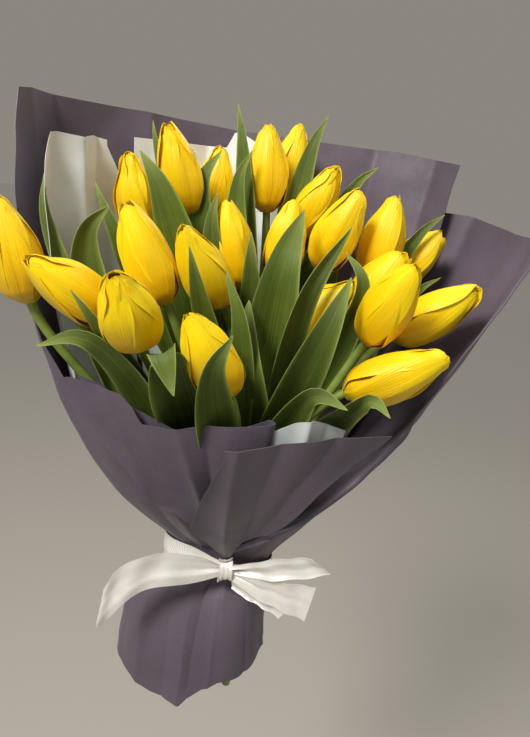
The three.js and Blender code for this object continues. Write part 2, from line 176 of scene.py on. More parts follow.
def stemPlace(number):
    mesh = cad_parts["stem_%02d" % number].data
    points = nodePoints("stem_%02d" % number)
    ends = np.array([e.vertices[:] for e in mesh.edges])
    low, high = points[ends[:, 0]], points[ends[:, 1]]
    crossing = low[:, 2] * high[:, 2] < 0
    low, high = low[crossing], high[crossing]
    share = low[:, 2] / (low[:, 2] - high[:, 2])
    inTie = (low + (high - low) * share[:, None]).mean(axis=0)
    foot = points[points[:, 2] < points[:, 2].min() + 0.5].mean(axis=0)
    return {"inTie": inTie, "foot": foot}


stalkLook = {
    "radius": 3.1,
    "rise": 0.3,  # share of its height that a stalk keeps the direction it has in the tie
    "neck": 0.22,  # and the share that it runs in line with its flower
    "points": 40,
    "sides": 14,
}
tulips = {n: {**flowerPlace(n), **stemPlace(n)} for n in range(1, tulipCount + 1)}


def bezier(a, b, c, d, t):
    t = np.asarray(t)[..., None]
    return (1 - t) ** 3 * a + 3 * (1 - t) ** 2 * t * b + 3 * (1 - t) * t**2 * c + t**3 * d


def stalkLine(tulip, t):  # from the tie up to the flower
    rise = np.array([0, 0, tulip["base"][2] * stalkLook["rise"]])
    neck = tulip["axis"] * tulip["base"][2] * stalkLook["neck"]
    return bezier(tulip["inTie"], tulip["inTie"] + rise, tulip["base"] - neck, tulip["base"], t)


def footLine(tulip, t):  # from the cut end up to the tie
    drop = np.array([0, 0, tulip["foot"][2] * 0.4])
    return bezier(tulip["foot"], tulip["foot"] - drop, tulip["inTie"] + drop, tulip["inTie"], t)


# Shader groups that more than one material uses.

def addNode(tree, kind, inputs=None, **settings):
    node = tree.nodes.new(kind)
    for key, value in settings.items():
        setattr(node, key, value)
    for key, value in (inputs or {}).items():
        if isinstance(value, bpy.types.NodeSocket):
            tree.links.new(value, node.inputs[key])
        else:
            node.inputs[key].default_value = value
    return node


def maths(tree, operation, a, b=0.0, clamp=False):
    node = addNode(tree, "ShaderNodeMath", {0: a, 1: b}, operation=operation)
    node.use_clamp = clamp
    return node.outputs[0]


def times(tree, a, b, clamp=False):
    return maths(tree, "MULTIPLY", a, b, clamp)


def plus(tree, a, b, clamp=False):
    return maths(tree, "ADD", a, b, clamp)


def blend(tree, base, value, share, clamp=False):
    return plus(tree, base, times(tree, value, share), clamp)


def awayFromMiddle(tree, across):  # 0 along the middle of a piece and 1 along its edges
    return times(tree, maths(tree, "ABSOLUTE", maths(tree, "SUBTRACT", across, 0.5)), 2.0)


def mixColours(tree, factor, a, b, blend="MIX"):
    node = addNode(tree, "ShaderNodeMix", data_type="RGBA", blend_type=blend)
    for key, value in (("Factor_Float", factor), ("A_Color", a), ("B_Color", b)):
        socket = next(s for s in node.inputs if s.identifier == key)
        if isinstance(value, bpy.types.NodeSocket):
            tree.links.new(value, socket)
        else:
            socket.default_value = value if key == "Factor_Float" else (*value, 1)
    return next(s for s in node.outputs if s.identifier == "Result_Color")


def ramp(tree, value, stops):
    node = addNode(tree, "ShaderNodeValToRGB", {"Fac": value})
    elements = node.color_ramp.elements
    while len(elements) < len(stops):
        elements.new(0.5)
    for element, (place, colour) in zip(elements, stops):
        element.position = place
        element.color = (*colour, 1)
    return node.outputs["Color"]


def noiseAt(tree, place, scale, detail):
    inputs = {"Vector": place, "Scale": scale, "Detail": detail}
    return addNode(tree, "ShaderNodeTexNoise", inputs).outputs[0]


def wavesAt(tree, place, direction, inputs):
    node = addNode(tree, "ShaderNodeTexWave", {"Vector": place, **inputs}, bands_direction=direction)
    return node.outputs[1]


def newTree(kind, name, inputs, outputs):
    tree = bpy.data.node_groups.new(name, kind + "NodeTree")
    for way, sockets in (("INPUT", inputs), ("OUTPUT", outputs)):
        for label, socket in sockets.items():
            tree.interface.new_socket(label, in_out=way, socket_type="NodeSocket" + socket)
    start, end = tree.nodes.new("NodeGroupInput"), tree.nodes.new("NodeGroupOutput")
    return tree, start.outputs, end.inputs


def placeGroup(tree, group, inputs):
    return addNode(tree, "ShaderNodeGroup", inputs, node_tree=group).outputs


def makeVeins():  # long fine veins that run with the piece, and the paleness of its edges
    inputs = {"Count": "Float", "Waver": "Float", "Seed": "Float"}
    outputs = dict.fromkeys(("Vein", "Streak", "Edge", "Along", "Rib"), "Float")
    group, given, result = newTree("Shader", "veins", inputs, outputs)
    uv = addNode(group, "ShaderNodeUVMap", uv_map="along").outputs[0]
    split = addNode(group, "ShaderNodeSeparateXYZ", {0: uv})
    u, v = split.outputs[0], split.outputs[1]
    wander = times(group, noiseAt(group, uv, 3.0, 2.0), times(group, given["Waver"], 0.06))
    bent = plus(group, u, wander)

    def lines(count, stretch, detail):
        across = times(group, bent, count)
        spread = {0: across, 1: times(group, v, stretch), 2: given["Seed"]}
        return noiseAt(group, addNode(group, "ShaderNodeCombineXYZ", spread).outputs[0], 1.0, detail)

    fromMiddle = awayFromMiddle(group, u)
    group.links.new(lines(given["Count"], 1.4, 1.0), result["Vein"])
    group.links.new(lines(times(group, given["Count"], 0.16), 1.1, 2.0), result["Streak"])
    group.links.new(maths(group, "POWER", fromMiddle, 9.0), result["Edge"])
    group.links.new(v, result["Along"])
    rib = maths(group, "SUBTRACT", 1.0, times(group, fromMiddle, 9.0), clamp=True)
    group.links.new(rib, result["Rib"])
    return group


def makeMottle():  # soft cloudy change over the surface, and a fine grain
    inputs, outputs = {"Cloud Scale": "Float", "Grain Scale": "Float"}, {"Cloud": "Float", "Grain": "Float"}
    group, given, result = newTree("Shader", "mottle", inputs, outputs)
    place = addNode(group, "ShaderNodeTexCoord").outputs["Object"]
    group.links.new(noiseAt(group, place, given["Cloud Scale"], 3.0), result["Cloud"])
    group.links.new(noiseAt(group, place, given["Grain Scale"], 2.0), result["Grain"])
    return group


veinsGroup = makeVeins()
mottleGroup = makeMottle()


def newMaterial(name, constants):
    material = bpy.data.materials.new(name)
    material.use_nodes = True
    tree = material.node_tree
    shader = tree.nodes["Principled BSDF"]
    for key, value in constants.items():
        shader.inputs[key].default_value = value
    return material, tree, shader


def dress(tree, shader, colour, roughness, height, strength, distance):  # what every material ends with
    bump = addNode(tree, "ShaderNodeBump", {"Height": height, "Strength": strength, "Distance": distance})
    tree.links.new(colour, shader.inputs["Base Color"])
    tree.links.new(roughness, shader.inputs["Roughness"])
    tree.links.new(bump.outputs[0], shader.inputs["Normal"])


petalLook = {
    "base": (0.50, 0.42, 0.02),
    # painted shade low on the petal
    "low": (0.92, 0.52, 0.0),
    "body": (0.98, 0.60, 0.0),
    # painted light near the petal tip
    "top": (1.0, 0.70, 0.0),
    "orange": (0.90, 0.42, 0.0),
    # painted highlight for the petal rims
    "edge": (1.0, 0.76, 0.008),
}


def makePetalMaterial():
    look = petalLook
    material, tree, shader = newMaterial("tulip petal", {
        "Subsurface Weight": 0.22, "Subsurface Scale": 0.004, "Subsurface Radius": (1.0, 0.55, 0.08),
        "Sheen Weight": 0.03, "Sheen Roughness": 0.4, "Specular IOR Level": 0.35,
    })
    tone = addNode(tree, "ShaderNodeAttribute", attribute_name="tone").outputs["Fac"]
    veins = placeGroup(tree, veinsGroup, {"Count": 60.0, "Waver": 0.8, "Seed": times(tree, tone, 40.0)})
    cloud = placeGroup(tree, mottleGroup, {"Cloud Scale": 45.0, "Grain Scale": 1500.0})
    # Up the petal: the greenish base is the petal's own colour; the darkening low down is painted shade and
    # the brighter tip is painted light.
    stops = [(0.0, look["base"]), (0.13, look["low"]), (0.42, look["body"]), (0.85, look["top"])]
    colour = ramp(tree, veins["Along"], stops)
    warm = times(tree, maths(tree, "POWER", veins["Streak"], 2.4), 1.3, clamp=True)
    warm = times(tree, warm, plus(tree, 0.25, tone), clamp=True)
    colour = mixColours(tree, warm, colour, look["orange"])
    # Painted highlight: the rims of each petal are mixed towards a paler yellow.
    colour = mixColours(tree, times(tree, veins["Edge"], 0.6), colour, look["edge"])
    shade = ramp(tree, cloud["Cloud"], [(0.3, (0.86, 0.84, 0.8)), (0.65, (1, 1, 1))])
    colour = mixColours(tree, 0.8, colour, shade, "MULTIPLY")
    rough = blend(tree, 0.36, veins["Vein"], 0.16)
    height = plus(tree, times(tree, veins["Vein"], 0.6), veins["Streak"])
    dress(tree, shader, colour, rough, height, 0.55, 0.0009)
    return material


leafLook = {
    "deep": (0.020, 0.037, 0.004),
    "body": (0.056, 0.085, 0.006),
    "bright": (0.13, 0.175, 0.016),
    "bloomy": (0.12, 0.165, 0.035),
    "edge": (0.36, 0.43, 0.12),
}


def makeLeafMaterial():
    look = leafLook
    material, tree, shader = newMaterial("tulip leaf", {
        "Subsurface Weight": 0.12, "Subsurface Scale": 0.002, "Subsurface Radius": (0.5, 1.0, 0.2),
        "Specular IOR Level": 0.25,
    })
    tone = addNode(tree, "ShaderNodeAttribute", attribute_name="tone").outputs["Fac"]
    front = addNode(tree, "ShaderNodeAttribute", attribute_name="front").outputs["Fac"]
    veins = placeGroup(tree, veinsGroup, {"Count": 70.0, "Waver": 0.4, "Seed": times(tree, tone, 40.0)})
    cloud = placeGroup(tree, mottleGroup, {"Cloud Scale": 28.0, "Grain Scale": 1200.0})
    colour = ramp(tree, plus(tree, times(tree, cloud["Cloud"], 0.7), times(tree, tone, 0.35)),
                  [(0.25, look["deep"]), (0.5, look["body"]), (0.8, look["bright"])])
    pale = times(tree, maths(tree, "SUBTRACT", 1.0, front), 0.25)
    glaze = plus(tree, pale, times(tree, maths(tree, "POWER", cloud["Cloud"], 3.0), 0.9), clamp=True)
    colour = mixColours(tree, glaze, colour, look["bloomy"])
    lines = ramp(tree, veins["Vein"], [(0.35, (0.6, 0.66, 0.6)), (0.62, (1.15, 1.15, 1.0))])
    colour = mixColours(tree, 0.75, colour, lines, "MULTIPLY")
    colour = mixColours(tree, times(tree, veins["Rib"], 0.3), colour, look["bright"])
    colour = mixColours(tree, times(tree, veins["Edge"], 0.7), colour, look["edge"])
    tipPale = times(tree, maths(tree, "POWER", veins["Along"], 14.0), 0.7)
    colour = mixColours(tree, tipPale, colour, look["edge"])
    rough = blend(tree, 0.38, cloud["Cloud"], 0.22)
    height = plus(tree, times(tree, veins["Vein"], 0.7), times(tree, veins["Streak"], 0.6))
    dress(tree, shader, colour, rough, height, 0.6, 0.001)
    return material


def makeStalkMaterial():
    constants = {"Subsurface Weight": 0.1, "Subsurface Scale": 0.002}
    material, tree, shader = newMaterial("tulip stalk", constants)
    cloud = placeGroup(tree, mottleGroup, {"Cloud Scale": 60.0, "Grain Scale": 1500.0})
    stops = [(0.3, (0.13, 0.19, 0.03)), (0.6, (0.22, 0.30, 0.055)), (0.8, (0.32, 0.40, 0.09))]
    colour = ramp(tree, cloud["Cloud"], stops)
    rough = blend(tree, 0.36, cloud["Grain"], 0.2)
    dress(tree, shader, colour, rough, cloud["Grain"], 0.25, 0.0004)
    return material


def makeHeartMaterial():
    constants = {"Subsurface Weight": 0.1, "Subsurface Scale": 0.001}
    material, tree, shader = newMaterial("flower heart", constants)
    cloud = placeGroup(tree, mottleGroup, {"Cloud Scale": 200.0, "Grain Scale": 3000.0})
    stops = [(0.35, (0.42, 0.38, 0.06)), (0.6, (0.72, 0.55, 0.08)), (0.75, (0.8, 0.68, 0.25))]
    colour = ramp(tree, cloud["Cloud"], stops)
    rough = blend(tree, 0.5, cloud["Grain"], 0.3)
    dress(tree, shader, colour, rough, cloud["Grain"], 0.5, 0.0004)
    return material


paperLook = {"shade": (0.070, 0.055, 0.075), "body": (0.092, 0.072, 0.098), "lit": (0.115, 0.091, 0.120)}


def makePaperMaterial():
    look = paperLook
    material, tree, shader = newMaterial("wrapping paper", {
        "Sheen Weight": 0.1, "Sheen Roughness": 0.4, "Specular IOR Level": 0.4,
    })
    cloud = placeGroup(tree, mottleGroup, {"Cloud Scale": 11.0, "Grain Scale": 2200.0})
    fine = placeGroup(tree, mottleGroup, {"Cloud Scale": 160.0, "Grain Scale": 700.0})
    colour = ramp(tree, cloud["Cloud"], [(0.3, look["shade"]), (0.5, look["body"]), (0.72, look["lit"])])
    fibres = ramp(tree, fine["Grain"], [(0.35, (0.93, 0.93, 0.93)), (0.65, (1.05, 1.05, 1.05))])
    colour = mixColours(tree, 1.0, colour, fibres, "MULTIPLY")
    rough = blend(tree, 0.42, fine["Cloud"], 0.2)
    height = plus(tree, times(tree, fine["Cloud"], 0.5), times(tree, cloud["Grain"], 0.12))
    dress(tree, shader, colour, rough, height, 0.22, 0.0012)
    return material


def makeLinerMaterial():
    material, tree, shader = newMaterial("frosted liner", {
        "Specular IOR Level": 0.5, "Subsurface Weight": 0.15, "Subsurface Scale": 0.004,
        "Coat Weight": 0.15,
    })
    cloud = placeGroup(tree, mottleGroup, {"Cloud Scale": 22.0, "Grain Scale": 1400.0})
    colour = ramp(tree, cloud["Cloud"], [(0.3, (0.74, 0.75, 0.74)), (0.65, (0.90, 0.90, 0.87))])
    tree.links.new(blend(tree, 0.62, cloud["Cloud"], 0.3, clamp=True), shader.inputs["Alpha"])
    rough = blend(tree, 0.3, cloud["Grain"], 0.15)
    dress(tree, shader, colour, rough, cloud["Cloud"], 0.3, 0.002)
    return material


def makeSatinMaterial():
    material, tree, shader = newMaterial("satin ribbon", {
        "Metallic": 0.25, "Specular IOR Level": 0.8, "Anisotropic": 0.5, "Subsurface Weight": 0.05,
        "Subsurface Scale": 0.001,
    })
    uv = addNode(tree, "ShaderNodeUVMap", uv_map="along").outputs[0]
    split = addNode(tree, "ShaderNodeSeparateXYZ", {0: uv})
    cloud = placeGroup(tree, mottleGroup, {"Cloud Scale": 90.0, "Grain Scale": 2500.0})
    weft = wavesAt(tree, uv, "Y", {"Scale": 55.0, "Distortion": 0.6, "Detail": 1.0})
    warp = wavesAt(tree, uv, "X", {"Scale": 30.0, "Distortion": 0.3})
    selvedge = maths(tree, "GREATER_THAN", awayFromMiddle(tree, split.outputs[0]), 0.91)
    colour = ramp(tree, cloud["Cloud"], [(0.3, (0.80, 0.775, 0.73)), (0.7, (0.90, 0.88, 0.84))])
    threads = ramp(tree, weft, [(0.2, (0.92, 0.92, 0.92)), (0.8, (1, 1, 1))])
    colour = mixColours(tree, 1.0, colour, threads, "MULTIPLY")
    colour = mixColours(tree, times(tree, selvedge, 0.35), colour, (0.62, 0.6, 0.57))
    rough = blend(tree, 0.2, selvedge, 0.25)
    rough = blend(tree, rough, weft, 0.1)
    height = plus(tree, times(tree, weft, 0.5), times(tree, warp, 0.25))
    height = blend(tree, height, selvedge, 1.2)
    dress(tree, shader, colour, rough, height, 0.3, 0.0004)
    return material


def makeTwineMaterial():
    material, tree, shader = newMaterial("twine", {"Sheen Weight": 0.3})
    place = addNode(tree, "ShaderNodeTexCoord").outputs["Object"]
    strands = wavesAt(tree, place, "DIAGONAL", {"Scale": 260.0, "Distortion": 2.0})
    colour = ramp(tree, strands, [(0.2, (0.26, 0.19, 0.10)), (0.8, (0.50, 0.39, 0.23))])
    rough = blend(tree, 0.7, strands, 0.2)
    dress(tree, shader, colour, rough, strands, 0.7, 0.0006)
    return material


petalMaterial = makePetalMaterial()
leafMaterial = makeLeafMaterial()
stalkMaterial = makeStalkMaterial()
heartMaterial = makeHeartMaterial()
paperMaterial = makePaperMaterial()
linerMaterial = makeLinerMaterial()
satinMaterial = makeSatinMaterial()
twineMaterial = makeTwineMaterial()
print("materials made")


# Geometry Nodes helpers.

def newGrower(name, inputs):
    return newTree("Geometry", name, {"Geometry": "Geometry", **inputs}, {"Geometry": "Geometry"})


def finishTree(tree, geometry, material, end):  # every tree ends in real geometry with its material
    real = addNode(tree, "GeometryNodeRealizeInstances", {0: geometry})
    smooth = addNode(tree, "GeometryNodeSetShadeSmooth", {0: real.outputs[0]})
    inputs = {"Geometry": smooth.outputs[0], "Material": material}
    painted = addNode(tree, "GeometryNodeSetMaterial", inputs)
    tree.links.new(painted.outputs[0], end[0])


def growMesh(name, tree, source, values):  # runs the tree on a start mesh and keeps the plain result
    start = bpy.data.objects.new(name, source)
    bpy.context.collection.objects.link(start)
    modifier = start.modifiers.new("grow", "NODES")
    modifier.node_group = tree
    for item in tree.interface.items_tree:
        if item.in_out == "INPUT" and item.name in values:
            modifier[item.identifier] = values[item.name]
    evaluated = start.evaluated_get(bpy.context.evaluated_depsgraph_get())
    mesh = bpy.data.meshes.new_from_object(evaluated)
    start.modifiers.remove(modifier)
    bpy.data.objects.remove(start)
    mesh.name = name
    return mesh


def tubeAlong(tree, curve, sides, radius):
    ring = addNode(tree, "GeometryNodeCurvePrimitiveCircle", {"Resolution": sides, "Radius": radius})
    inputs = {"Curve": curve, "Profile Curve": ring.outputs[0], "Fill Caps": True}
    return addNode(tree, "GeometryNodeCurveToMesh", inputs)


def joinParts(tree, *parts):
    whole = addNode(tree, "GeometryNodeJoinGeometry")
    for part in parts:
        tree.links.new(part.outputs[0], whole.inputs[0])
    return whole.outputs[0]


def makeStalkTree():
    tree, given, end = newGrower("stalk", {"Radius": "Float", "Sides": "Int"})
    line = addNode(tree, "GeometryNodeMeshToCurve", {0: given["Geometry"]})
    tube = tubeAlong(tree, line.outputs[0], given["Sides"], given["Radius"])
    along = addNode(tree, "GeometryNodeSplineParameter").outputs["Factor"]
    place = addNode(tree, "GeometryNodeInputPosition").outputs[0]
    taper = maths(tree, "SUBTRACT", 1.04, times(tree, along, 0.12))
    uneven = blend(tree, 0.94, noiseAt(tree, place, 60.0, 1.0), 0.12)
    tree.links.new(times(tree, taper, uneven), tube.inputs["Scale"])
    finishTree(tree, tube.outputs[0], stalkMaterial, end)
    return tree


def makeHeartTree():  # six stamens round a pistil
    tree, given, end = newGrower("heart", {"Stamens": "Int", "Height": "Float"})

    def part(kind, inputs):
        return addNode(tree, "GeometryNode" + kind, inputs)

    thread = part("MeshCone", {"Vertices": 6, "Side Segments": 4, "Radius Top": 0.0005,
                               "Radius Bottom": 0.0009, "Depth": 0.009})
    lifted = part("Transform", {0: thread.outputs[0], "Translation": (0, 0, 0.001)})
    anther = part("MeshIcoSphere", {"Radius": 0.0014, "Subdivisions": 2})
    long = part("Transform", {0: anther.outputs[0], "Translation": (0, 0, 0.013), "Scale": (0.8, 0.8, 3.0)})
    ring = part("MeshCircle", {"Vertices": given["Stamens"], "Radius": 0.0042})
    stamens = {"Points": ring.outputs[0], "Instance": joinParts(tree, lifted, long)}
    placed = part("InstanceOnPoints", stamens)
    pistil = part("MeshCone", {"Vertices": 9, "Side Segments": 6, "Radius Top": 0.0019,
                               "Radius Bottom": 0.0026, "Depth": given["Height"]})
    stigma = part("MeshIcoSphere", {"Radius": 0.0032, "Subdivisions": 2})
    crown = addNode(tree, "ShaderNodeCombineXYZ", {2: given["Height"]}).outputs[0]
    top = part("Transform", {0: stigma.outputs[0], "Translation": crown, "Scale": (1, 1, 0.5)})
    finishTree(tree, joinParts(tree, placed, pistil, top), heartMaterial, end)
    return tree


def makeTwineTree():  # turns of twine lying on each other round the stems
    inputs = {"Turns": "Float", "Radius": "Float", "Height": "Float", "Thickness": "Float"}
    tree, given, end = newGrower("twine", inputs)
    coil = addNode(tree, "GeometryNodeCurveSpiral", {
        "Resolution": 48, "Rotations": given["Turns"], "Height": given["Height"],
        "Start Radius": given["Radius"], "End Radius": given["Radius"],
    })
    low = addNode(tree, "ShaderNodeCombineXYZ", {2: times(tree, given["Height"], -0.5)})
    moved = {0: coil.outputs[0], "Translation": low.outputs[0]}
    centred = addNode(tree, "GeometryNodeTransform", moved)
    tube = tubeAlong(tree, centred.outputs[0], 8, given["Thickness"])
    finishTree(tree, tube.outputs[0], twineMaterial, end)
    return tree


# Stalks and the tie.

stalkTree = makeStalkTree()
for number, tulip in tulips.items():
    steps = np.linspace(0, 1, stalkLook["points"])
    line = np.concatenate([footLine(tulip, steps)[:-1], stalkLine(tulip, steps)]) * mm
    source = bpy.data.meshes.new("stalk line")
    source.from_pydata(line.tolist(), [(i, i + 1) for i in range(len(line) - 1)], [])
    values = {"Radius": stalkLook["radius"] * mm, "Sides": stalkLook["sides"]}
    stalk = growMesh("stem_%02d_stalk" % number, stalkTree, source, values)
    settle(addPiece(stalk.name, stalk, None), "stem_%02d" % number)

tieLow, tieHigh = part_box("stem_tie")
twineThickness = 0.0007
twineLook = {
    "Turns": 5.0,
    "Radius": tieHigh[0] - twineThickness,
    "Height": (tieHigh[2] - tieLow[2]) * 0.85,
    "Thickness": twineThickness,
}
twine = growMesh("stem_tie_twine", makeTwineTree(), bpy.data.meshes.new("twine start"), twineLook)
settle(addPiece(twine.name, twine, None), "stem_tie")
print("stalks and tie made")


# Flowers: three outer petals round three inner ones.

bloomLook = {
    "rows": 28,
    "columns": 15,
    "thickness": 0.55,
    "outer": {"reach": 1.0, "width": 1.16, "length": 1.0},
    "inner": {"reach": 0.86, "width": 1.06, "length": 0.985},
    "cupAtTip": 0.62,  # tightest curve across a petal, as a share of the flower's radius
    "flatter": 1.25,  # how much flatter than the flower a petal is, so that its edges stand off
    "seed": 5,
    "open": {3: 0.02, 16: 0.35, 18: 0.25},  # flowers that have begun to open
    "tipLean": (-0.08, 0.1),  # how far a tip leans out, of the radius
    "lift": (0.5, 1.7),  # of one edge over its neighbour
    "keel": (0.3, 1.1),
    "groove": 0.6,
    "ripple": 0.65,
    "twist": 0.16,
    "shorter": 0.07,  # than the flower, at most
    "turn": (50, 130),  # degrees that the first petal is turned round the flower
}
heartLook = {"Stamens": 6, "Height": 0.017}
bloomOutline = [(0, 0.27), (0.08, 0.68), (0.24, 0.95), (0.42, 1.0), (0.66, 0.84), (0.87, 0.46), (1, 0.13)]
petalOutline = [(0, 0.28), (0.12, 0.56), (0.3, 0.88), (0.5, 1.0), (0.7, 0.93), (0.84, 0.72), (0.93, 0.46),
                (0.98, 0.22), (1, 0.04)]


def petalGrid(tulip, whorl, angle, opened, dice):
    look = bloomLook
    size = look[whorl]
    rows = np.linspace(0, 1, look["rows"]) ** 0.9
    s, t = acrossAndAlong(look["columns"], rows)
    radius = tulip["radius"]
    tipLean = (opened * 0.75 + dice.uniform(*look["tipLean"])) * radius
    reach = outlineAt(bloomOutline, t) * size["reach"] * radius
    reach = reach + tipLean * t**3 + opened * 0.12 * radius * t
    width = outlineAt(petalOutline, t) * size["width"] * radius * dice.uniform(0.94, 1.04)
    width = width * (1 + 0.035 * np.sin(9 * t + dice.uniform(0, 6)) * t)
    bow = np.maximum(reach * look["flatter"], look["cupAtTip"] * radius)
    turn = s * width / bow
    twist = dice.uniform(-look["twist"], look["twist"]) * t
    swell = np.sin(math.pi * t)
    lift = dice.uniform(*look["lift"]) * np.maximum(0, s * dice.choice([-1, 1])) ** 3
    lift = lift * np.sin(math.pi * np.minimum(1, t * 1.1))
    keel = dice.uniform(*look["keel"]) * (1 if whorl == "outer" else 0.5)
    rib = keel * (0.45 * np.exp(-((s / 0.1) ** 2)) + 0.55 * np.exp(-np.abs(s) / 0.3)) * swell**0.7
    groove = -look["groove"] * np.exp(-(((np.abs(s) - 0.42) / 0.16) ** 2)) * swell
    ripple = look["ripple"] * np.abs(s) ** 2 * np.sin(13 * t + dice.uniform(0, 6)) * t
    away = bow + lift + rib + groove + ripple
    outward = reach - bow + away * np.cos(turn)
    sideways = away * np.sin(turn)
    long = tulip["length"] * size["length"] * (1 - look["shorter"] * dice.random())
    high = long * t - 0.03 * long * s**2 * t**2 * (1 - t) * 4
    high = high + 0.5 * np.sin(17 * s + dice.uniform(0, 6)) * t**6
    axis = tulip["axis"]
    across = unit(np.cross(axis, [0.0, -1.0, 0.2]))
    ahead = np.cross(across, axis)
    spin = angle + twist
    c, k = np.cos(spin)[..., None], np.sin(spin)[..., None]
    out = across * c + ahead * k
    side = -across * k + ahead * c
    grid = tulip["base"] + axis * high[..., None] + out * outward[..., None] + side * sideways[..., None]
    thickness = look["thickness"] * (0.45 + 0.55 * (1 - s**2)) * (0.6 + 0.4 * (1 - t))
    return grid, thickness


def makeFlower(number, tulip, heartTree):
    dice = random.Random(bloomLook["seed"] * 100 + number)
    opened = bloomLook["open"].get(number, dice.uniform(0, 0.08))
    turn = math.radians(dice.uniform(*bloomLook["turn"]))
    for whorl, offset in (("outer", 0), ("inner", math.pi / 3)):
        petals = []
        for k in range(3):
            grid, thickness = petalGrid(tulip, whorl, turn + offset + k * 2 * math.pi / 3, opened, dice)
            tone = dice.uniform(0.0, 0.55) + (0.25 if whorl == "inner" else 0)
            petals.append((grid, thickness, tone))
        piece = shellMesh("bloom_%02d_%s_petals" % (number, whorl), petals, petalMaterial)
        settle(piece, "bloom_%02d" % number)
    source = bpy.data.meshes.new("heart start")
    heart = growMesh("bloom_%02d_heart" % number, heartTree, source, heartLook)
    along = Vector(tulip["axis"]).to_track_quat("Z", "Y").to_matrix().to_4x4()
    heart.transform(Matrix.Translation(Vector((tulip["base"] + tulip["axis"] * 1.5) * mm)) @ along)
    settle(addPiece(heart.name, heart, None), "bloom_%02d" % number)


heartTree = makeHeartTree()
for number, tulip in tulips.items():
    makeFlower(number, tulip, heartTree)
print("flowers made")


# Leaves: a row for each has its tulip, the height where it leaves the stalk, a point half way up its
# midrib, its tip, the blade's width, and the angle that its face turns to (270 is the viewer).

bladeLook = {
    "rows": 44,
    "columns": 15,
    "thickness": 0.85,
    "outline": [(0, 0.34), (0.15, 0.6), (0.34, 0.93), (0.5, 1.0), (0.68, 0.86), (0.82, 0.58), (0.92, 0.3),
                (0.98, 0.1), (1, 0.02)],  # half width up the blade
    "cup": [(0, 1.5), (0.25, 0.95), (0.6, 0.55), (1, 0.9)],  # how curved the blade is across
    "faceUp": 0.25,  # how much the blades face upwards
    "twist": 25,  # degrees, at most
    "fold": 0.06,
    "ridge": 0.45,  # of the two folds beside the midrib
    "wave": (0.9, 2.2),  # of the edges
}
leaves = [
    [12, 80, [15, -34, 229], [24, -14, 263], 34, 275],
    [17, 50, [-2, -52, 168], [-3, -40, 208], 34, 270],
    [21, 60, [43, -70, 204], [53, -60, 231], 30, 290],
    [6, 120, [-68, 0, 265], [-83, 3, 287], 32, 265],
    [3, 70, [-87, -82, 184], [-114, -84, 178], 20, 250],
    [3, 90, [-42, -98, 186], [-34, -104, 166], 32, 280],
    [22, 60, [-16, -92, 177], [-7, -98, 200], 28, 285],
    [7, 120, [-46, 30, 271], [-35, 32, 294], 26, 270],
    [9, 100, [-33, -8, 248], [-31, -6, 267], 24, 265],
    [11, 130, [26, 52, 302], [35, 58, 326], 22, 260],
    [10, 130, [-21, 42, 297], [-28, 48, 326], 18, 250],
    [9, 130, [-21, 26, 276], [-14, 28, 296], 20, 280],
    [8, 100, [-30, -72, 219], [-35, -80, 240], 20, 260],
    [12, 110, [-5, -18, 227], [-7, -16, 246], 20, 265],
    [14, 80, [30, -46, 214], [53, -28, 257], 22, 300],
    [16, 110, [62, -42, 226], [51, -34, 242], 20, 285],
    [1, 110, [-138, -10, 242], [-142, -2, 267], 14, 270],
    [1, 120, [-107, -26, 233], [-94, -22, 253], 26, 300],
    [5, 120, [-97, -4, 240], [-111, 2, 265], 16, 255],
    [13, 140, [62, 66, 283], [78, 72, 297], 18, 285],
    [18, 120, [108, 30, 256], [122, 32, 269], 18, 285],
    [19, 110, [110, 16, 218], [124, 18, 228], 14, 290],
    [20, 60, [40, -80, 166], [58, -90, 164], 24, 285],
    [20, 80, [72, -76, 165], [83, -84, 160], 26, 300],
    [22, 70, [-6, -58, 197], [-17, -56, 226], 18, 265],
    [7, 150, [-87, 66, 296], [-91, 70, 311], 14, 265],
    [2, 100, [-84, -84, 198], [-94, -88, 212], 16, 250],
    [15, 110, [52, 40, 250], [60, 46, 274], 16, 270],
]


def stalkPointAt(tulip, height):
    steps = np.linspace(0, 1, 200)
    line = stalkLine(tulip, steps)
    return line[np.argmin(np.abs(line[:, 2] - height))]


def leafGrid(leaf, dice):
    look = bladeLook
    number, start, middlePoint, tip, width, facing = leaf
    points = [stalkPointAt(tulips[number], start), middlePoint, tip]
    s, t = acrossAndAlong(look["columns"], np.linspace(0, 1, look["rows"]))
    fine = throughPoints(points, np.linspace(0, 1, 400))
    walked = np.concatenate([[0], np.cumsum(np.linalg.norm(np.diff(fine, axis=0), axis=1))])
    middle = np.stack([np.interp(t[0] * walked[-1], walked, fine[:, k]) for k in range(3)], -1)
    along = unit(np.gradient(middle, axis=0))
    facing = math.radians(facing)
    face = np.array([math.cos(facing), math.sin(facing), look["faceUp"]])
    side = unit(np.cross(along, face))
    out = unit(np.cross(side, along))
    twist = dice.uniform(-look["twist"], look["twist"])
    roll = np.radians(twist * (t[0] - 0.4))[:, None]
    side, out = side * np.cos(roll) + out * np.sin(roll), out * np.cos(roll) - side * np.sin(roll)
    half = outlineAt(look["outline"], t) * width / 2
    cup = outlineAt(look["cup"], t)
    reach = np.sin(cup * s) / cup * half
    depth = (1 - np.cos(cup * s)) / cup * half + look["fold"] * half * np.abs(s) * t
    wave = dice.uniform(*look["wave"])
    depth = depth + look["ridge"] * np.exp(-(((np.abs(s) - 0.45) / 0.2) ** 2)) * np.sin(math.pi * t)
    ripple = np.sin(dice.uniform(8, 12) * t + dice.uniform(0, 6) + 1.2 * s)
    depth = depth + wave * s**2 * ripple * np.sin(math.pi * t)
    grid = middle[None] + side[None] * reach[..., None] + out[None] * depth[..., None]
    thickness = look["thickness"] * (0.35 + 0.65 * (1 - s**2)) * (1 - 0.4 * t)
    return grid[::-1], thickness


